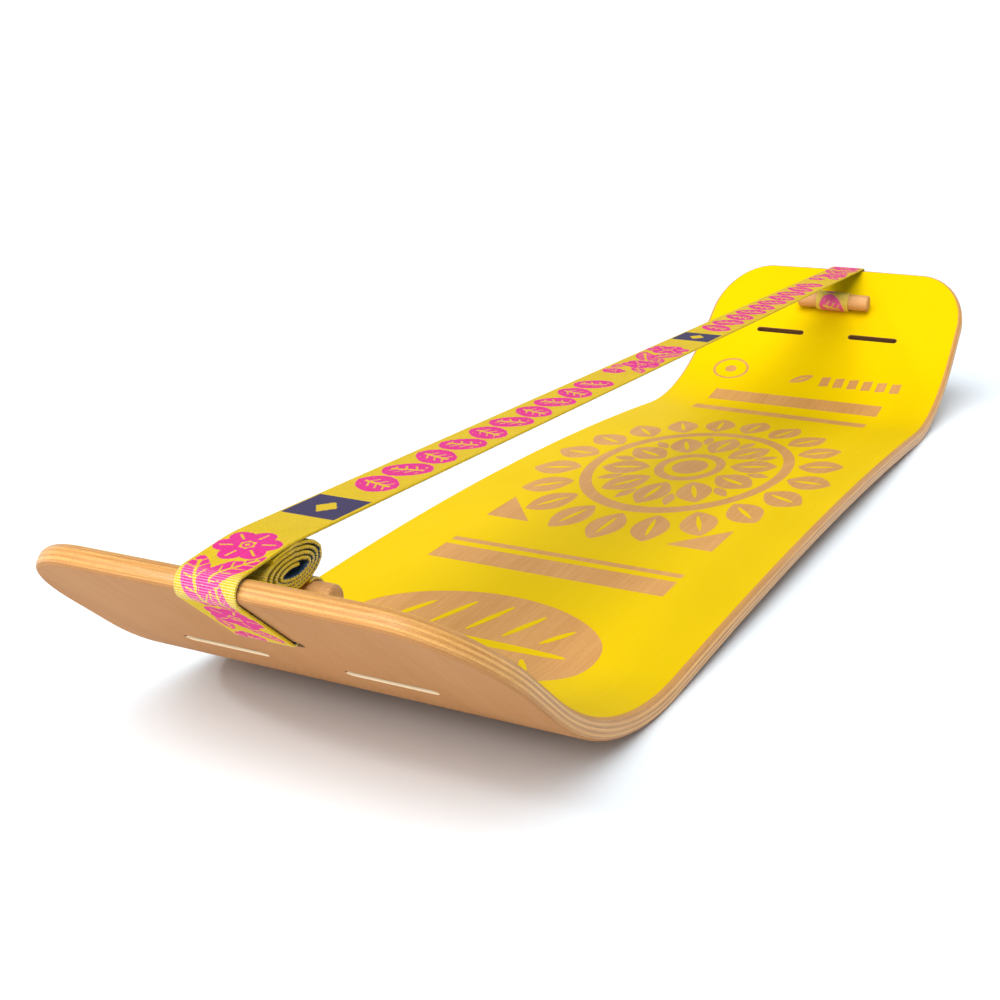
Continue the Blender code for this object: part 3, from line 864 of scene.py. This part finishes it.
def resample(path, step):
    """Equal steps along a path: points, unit tangents and distances."""
    points = np.array([(float(x), float(z)) for x, z in path])
    keep = np.r_[True, np.hypot(*np.diff(points, axis=0).T) > 1e-7]
    points = points[keep]
    run = np.r_[0, np.cumsum(np.hypot(*np.diff(points, axis=0).T))]
    count = max(int(round(run[-1] / step)), 2)
    at = np.linspace(0, run[-1], count + 1)
    even = np.column_stack([np.interp(at, run, points[:, k]) for k in (0, 1)])
    tangent = np.gradient(even, at, axis=0)
    tangent /= np.hypot(*tangent.T)[:, None]
    return even, tangent, at


# ---------------------------------------------------------------- webbing pattern

YELLOW, PINK, BACK, LABEL = 0, 1, 2, 3


def woven_leaf(du, dv, length, breadth, lean):
    """A leaf with a slit midrib and side veins, lying at an angle to the webbing."""
    x = (du * math.cos(lean) + dv * math.sin(lean)) / (length / 2)
    y = (-du * math.sin(lean) + dv * math.cos(lean)) / (breadth / 2)
    body = np.abs(y) < np.clip(1 - x * x, 0, 1) ** 0.8
    midrib = (np.abs(y) < 0.11) & (np.abs(x) < 0.75)
    veins = (np.mod(x * 3.2 - np.abs(y) * 0.9, 1) < 0.16) & (np.abs(y) < 0.75)
    return body & ~midrib & ~veins


def blossom(du, dv, radius, count, spin=0.0):
    """A flower of separate petals, each with a slit, round a small eye."""
    reach = np.hypot(du, dv) / radius
    sector = 2 * math.pi / count
    turn = np.mod(np.arctan2(dv, du) + spin + sector / 2, sector) - sector / 2
    x, y = reach * np.cos(turn), reach * np.sin(turn)
    petal = ((x - 0.62) / 0.40) ** 2 + (y / (0.66 * math.tan(sector / 2))) ** 2 < 1
    slit = (np.abs(y) < 0.035) & (x > 0.42) & (x < 0.84)
    return (petal & ~slit) | ((reach < 0.17) & (reach > 0.07))


# Flowers: place along and across, radius, petals, spin
FLOWERS = ((0.7580, 0.0010, 0.0240, 6, 0.2), (0.6650, -0.0045, 0.0215, 5, 0.5),
           (0.6185, 0.0090, 0.0130, 5, 0.0))
# Leaves: place along and across, length, breadth, lean
LEAVES = ((0.7230, -0.0100, 0.056, 0.020, -0.55), (0.7080, 0.0085, 0.058, 0.021, 0.42),
          (0.6930, -0.0130, 0.036, 0.013, 0.25), (0.6360, -0.0120, 0.036, 0.014, 0.60),
          (0.6480, 0.0140, 0.034, 0.012, -0.20))


def pattern(u, v):
    """Yarn colour on the front of the webbing, from distances along and across it."""
    at = np.mod(u, PATTERN_REPEAT)
    colour = np.full(at.shape, YELLOW)
    band = (at > LEAF_ROW[0]) & (at < LEAF_ROW[1])
    cell = np.floor((at - LEAF_ROW[0]) / LEAF_PITCH)
    side = np.where(cell % 2 == 0, 1, -1)
    middle = LEAF_ROW[0] + (cell + 0.5) * LEAF_PITCH
    tall = v / LEAF_HALF[1]
    wide = (at - middle - LEAF_LEAN * np.sin(tall * 1.5) * side) / LEAF_HALF[0]
    leaves = np.abs(wide) < np.clip(1 - tall * tall, 0, 1) ** 0.62
    slit = (np.abs(wide) < 0.085) & (np.abs(tall) < 0.66)
    veins = np.mod(tall * 2.4 + np.abs(wide) * 1.3 * side, 1) < 0.2
    veins &= (np.abs(wide) > 0.08) & (np.abs(wide) < 0.50) & (np.abs(tall) < 0.62)
    colour[band & leaves & ~slit & ~veins] = PINK
    for middle, across, radius, count, spin in FLOWERS:
        colour[blossom(at - middle, v - across, radius, count, spin)] = PINK
    for middle, across, length, breadth, lean in LEAVES:
        clear = np.ones(at.shape, bool)
        for flower_middle, flower_across, radius, _, _ in FLOWERS:
            clear &= np.hypot(at - flower_middle, v - flower_across) > radius * 1.06
        colour[woven_leaf(at - middle, v - across, length, breadth, lean) & clear] = PINK
    label = (at > LABEL_SPAN[0]) & (at < LABEL_SPAN[1]) & (np.abs(v) < LABEL_HALF_WIDTH)
    off_middle = np.abs(at - sum(LABEL_SPAN) / 2)
    diamond = off_middle / LABEL_DIAMOND[0] + np.abs(v) / LABEL_DIAMOND[1]
    colour[label] = LABEL
    colour[label & (diamond < 0.9)] = YELLOW
    return colour


def section(front_columns):
    """Cross-section of the webbing: across, share of the half thickness, and its kind."""
    half = WEB_WIDTH / 2
    rim = 0.0012
    front = [(v, 1.0, "front") for v in np.linspace(-half + rim, half - rim, front_columns)]
    right = [(half - 0.0005, 0.88, "edge"), (half - 0.0001, 0.45, "edge"),
             (half, -0.05, "edge"), (half - 0.0002, -0.50, "under"),
             (half - 0.0006, -0.88, "under")]
    back = [(v, -1.0, "back") for v in np.linspace(half - rim, -half + rim, 13)]
    left = [(-v, level, "under" if level < -0.6 else "edge") for v, level, _ in reversed(right)]
    return front + right + back + left


def ribbon(name, path, step, start, front, threads, along=1, tongue=0.0, columns=45,
           fullness=1.0):
    """A woven band along a path; front is the side, left or right, that its face is on."""
    even, tangent, at = resample(path, step)
    rows = len(at)
    # Fully polished, and given the painted rib highlight, where it turns as tightly as round the
    # noses
    turning = np.hypot(*np.gradient(tangent, at, axis=0).T) * NOSE_WRAP_RADIUS
    window = np.ones(POLISH_AND_HIGHLIGHT_SPREAD) / POLISH_AND_HIGHLIGHT_SPREAD
    polish = np.convolve(np.clip(turning, 0, 1), window, mode="same")
    in_tongue = (at > at[-1] - tongue)[:, None]
    thinning = np.where(in_tongue, TONGUE_THICKNESS, 1.0)
    narrowing = np.where(in_tongue, TONGUE_WIDTH, 1.0)
    parts = section(columns)
    count = len(parts)
    across = np.array([p[0] for p in parts])
    level = np.array([p[1] for p in parts])
    kinds = np.array([p[2] for p in parts])
    woven = (kinds == "front") | (kinds == "back")
    checks = (-1.0) ** (np.arange(rows)[:, None] + np.arange(count)[None, :])
    relief = WEAVE_RELIEF * (checks - 1) * woven * np.sign(level)
    off = (level * HALF_WEB * fullness + relief) * thinning * front
    normal = np.column_stack([-tangent[:, 1], tangent[:, 0]])
    x = even[:, 0:1] + off * normal[:, 0:1]
    z = even[:, 1:2] + off * normal[:, 1:2]
    swell = SCALLOP * np.cos(2 * math.pi * at / SCALLOP_PITCH)[:, None]
    y = (across + np.where(woven, 0.0, swell * np.sign(across))) * narrowing
    verts = np.stack([x, y, z], axis=-1).reshape(-1, 3)
    i, j = np.meshgrid(np.arange(rows - 1), np.arange(count), indexing="ij")
    after = (j + 1) % count
    quads = np.stack([i * count + j, i * count + after, (i + 1) * count + after,
                      (i + 1) * count + j], axis=-1).reshape(-1, 4)
    faces = quads.tolist()
    faces += [list(range(count)), list(range((rows - 1) * count, rows * count))]
    u = (start + along * at)[:, None] + 0 * across
    v = across + 0 * u
    colour = pattern((u[:-1] + u[1:]) / 2, (v[:-1] + np.roll(v[:-1], -1, axis=1)) / 2)
    colour[:, kinds != "front"] = YELLOW
    colour[:, np.flatnonzero(kinds == "front")[-1]] = YELLOW
    colour[:, kinds == "back"] = BACK
    dash = np.mod(at[:-1], DASH_PITCH) < DASH_LENGTH
    for k in np.flatnonzero(kinds == "under"):
        colour[:, k] = np.where(dash, BACK, YELLOW)
    data = bmesh.new()
    grain = data.verts.layers.float_vector.new("grain")
    shine = data.verts.layers.float.new("polish")
    yarns = np.stack([u, v, level * HALF_WEB + 0 * u], -1).reshape(-1, 3)
    made = []
    for k, (place, yarn) in enumerate(zip(verts, yarns)):
        vert = data.verts.new(place)
        vert[grain] = yarn
        vert[shine] = polish[k // count]
        made.append(vert)
    kinds_of_yarn = colour.ravel().tolist() + [YELLOW, YELLOW]
    for corners, yarn in zip(faces, kinds_of_yarn):
        data.faces.new([made[c] for c in corners]).material_index = yarn
    mesh = mesh_from_bmesh(name, data, sharp=math.radians(50))
    return place_object(name, mesh, threads)


def build_webbing():
    threads = [thread_paint("thread_yellow", srgb(234, 206, 4), srgb(206, 166, 0)),
               thread_paint("thread_pink", srgb(242, 44, 152), srgb(206, 26, 118)),
               thread_paint("thread_back", srgb(22, 96, 140), srgb(12, 44, 78)),
               thread_paint("thread_label", srgb(66, 55, 96), srgb(46, 38, 76))]
    line_path = [on_line(0), on_line(LINE_LENGTH + LINE_GAP + TONGUE_LENGTH)]
    line = ribbon("line_webbing", line_path, LINE_PICK, 0.0, 1, threads,
                  tongue=TONGUE_LENGTH)
    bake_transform(line)
    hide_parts("webbing_span_near", "webbing_span_far")
    near = ribbon("near_wrap_webbing", near_wrap_path(), PICK, 0.0, -1, threads, along=-1,
                  columns=81)
    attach(near, "root")
    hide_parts("webbing_near_wrap")
    far = ribbon("far_loop_webbing", far_loop_path(), PICK, LINE_LENGTH, 1, threads)
    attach(far, "root")
    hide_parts("webbing_far_loop")
    roll = ribbon("spare_roll_webbing", roll_path(), PICK, 0.0, 1, threads,
                  fullness=ROLL_FULLNESS)
    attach(roll, "root")
    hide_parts("webbing_spare_roll")


# ---------------------------------------------------------------- dowels

def build_dowel(name, node, wood):
    """A turned beech dowel with softened ends."""
    low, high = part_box(node)
    centre = (low + high) / 2
    half, radius = (high.y - low.y) / 2, (high.z - low.z) / 2
    profile_points = [(half, 0.0), (half, (radius - DOWEL_ROUND) / 2)]
    for turn in np.linspace(0, math.pi / 2, 8):
        profile_points.append((half - DOWEL_ROUND * (1 - math.cos(turn)),
                               radius - DOWEL_ROUND * (1 - math.sin(turn))))
    profile_points += [(y, radius) for y in np.linspace(half * 0.8, 0, 5)]
    profile_points += [(-y, r) for y, r in reversed(profile_points[:-1])]
    data = bmesh.new()
    grain = data.verts.layers.float_vector.new("grain")
    end_grain = data.faces.layers.float.new("end_grain")
    rings = []
    for y, r in profile_points:
        ring = []
        for i in range(DOWEL_SIDES if r else 1):
            turn = 2 * math.pi * i / DOWEL_SIDES
            dx, dz = r * math.cos(turn), r * math.sin(turn)
            vert = data.verts.new((centre.x + dx, centre.y + y, centre.z + dz))
            vert[grain] = (y, dx * 0.4, dz * 0.4)
            ring.append(vert)
        rings.append(ring)
    for (y, _), near, far in zip(profile_points, rings, rings[1:]):
        for i in range(DOWEL_SIDES):
            j = (i + 1) % DOWEL_SIDES
            corners = [near[i % len(near)], near[j % len(near)], far[j % len(far)],
                       far[i % len(far)]]
            face = data.faces.new(list(dict.fromkeys(corners)))
            face[end_grain] = 1.0 if abs(y) > half - DOWEL_ROUND * 0.6 else 0.0
    piece = place_object(name, mesh_from_bmesh(name, data), [wood])
    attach(piece, node)
    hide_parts(node)


# ---------------------------------------------------------------- studio

def build_studio():
    """Pale floor, white horizon, a broad key from the near end and two small lamps."""
    bpy.ops.mesh.primitive_plane_add(size=FLOOR_SIZE, location=(0, 0, -FLOOR_DROP))
    floor = bpy.context.object
    floor.name = "studio_floor"
    paint = Paint("studio_white")
    paint.set(Base_Color=FLOOR_COLOUR, Roughness=1.0, Specular_IOR_Level=0.0)
    floor.data.materials.append(paint.material)
    world = bpy.data.worlds.new("studio")
    bpy.context.scene.world = world
    world.use_nodes = True
    tree = world.node_tree
    back = tree.nodes["Background"]
    where = tree.nodes.new("ShaderNodeTexCoord").outputs["Generated"]
    parts = tree.nodes.new("ShaderNodeSeparateXYZ")
    tree.links.new(where, parts.inputs[0])
    behind = tree.nodes.new("ShaderNodeVectorMath")
    behind.operation = "DOT_PRODUCT"
    tree.links.new(where, behind.inputs[0])
    behind.inputs[1].default_value = BACKDROP_SIDE

    def fade(value, span, before, after):
        made = tree.nodes.new("ShaderNodeMapRange")
        made.interpolation_type = "SMOOTHSTEP"
        tree.links.new(value, made.inputs["Value"])
        made.inputs["From Min"].default_value = span[0]
        made.inputs["From Max"].default_value = span[1]
        made.inputs["To Min"].default_value = before
        made.inputs["To Max"].default_value = after
        return made.outputs["Result"]

    def join(operation, first, second):
        made = tree.nodes.new("ShaderNodeMath")
        made.operation = operation
        tree.links.new(first, made.inputs[0])
        tree.links.new(second, made.inputs[1])
        return made.outputs[0]

    # A white horizon all round, a tall white backdrop beyond the far end, and a dim sky
    height = parts.outputs["Z"]
    tall = join("MULTIPLY", fade(behind.outputs["Value"], BACKDROP_EDGE, 0.0, 1.0),
                fade(height, BACKDROP_TOP, 1.0, 0.0))
    share = join("MAXIMUM", tall, fade(height, HORIZON_TOP, 1.0, 0.0))
    sky = tree.nodes.new("ShaderNodeMix")
    sky.data_type = "RGBA"
    tree.links.new(share, sky.inputs[0])
    sky.inputs[6].default_value = SKY_COLOUR
    sky.inputs[7].default_value = BACKDROP_COLOUR
    tree.links.new(sky.outputs[2], back.inputs["Color"])
    lamp = bpy.data.lights.new("key", "SUN")
    lamp.energy, lamp.angle = KEY_LIGHT, KEY_SPREAD
    key = bpy.data.objects.new("key", lamp)
    key.rotation_euler = (-KEY_FROM).to_track_quat("-Z", "Y").to_euler()
    bpy.context.scene.collection.objects.link(key)
    for name, power, size, place in LAMPS:
        lamp = bpy.data.lights.new(name, "AREA")
        lamp.shape, lamp.size, lamp.energy = "DISK", size, power
        disk = bpy.data.objects.new(name, lamp)
        disk.location = place
        disk.rotation_euler = (LAMP_AIM - place).to_track_quat("-Z", "Y").to_euler()
        bpy.context.scene.collection.objects.link(disk)


def build_camera():
    camera = bpy.data.objects.new("camera", bpy.data.cameras.new("camera"))
    camera.data.lens = CAMERA_LENS
    camera.data.sensor_width = 36
    camera.data.clip_end = 100
    ahead = (CAMERA_AIM - CAMERA_PLACE).normalized()
    level = ahead.cross(Vector((0, 0, 1))).normalized()
    up = level.cross(ahead)
    right = level * math.cos(CAMERA_ROLL) + up * math.sin(CAMERA_ROLL)
    up = right.cross(ahead)
    turned = Matrix((right, up, -ahead)).transposed().to_4x4()
    camera.matrix_world = Matrix.Translation(CAMERA_PLACE) @ turned
    bpy.context.scene.collection.objects.link(camera)
    bpy.context.scene.camera = camera


bpy.context.scene.view_settings.view_transform = "Standard"
build_camera()
build_studio()
build_plywood()
build_ink()
build_webbing()
dowel_wood = wood_paint("beech_dowel", srgb(220, 166, 108), srgb(192, 134, 82), 0.50)
build_dowel("near_anchor_dowel", "near_dowel", dowel_wood)
build_dowel("far_anchor_dowel", "far_dowel", dowel_wood)
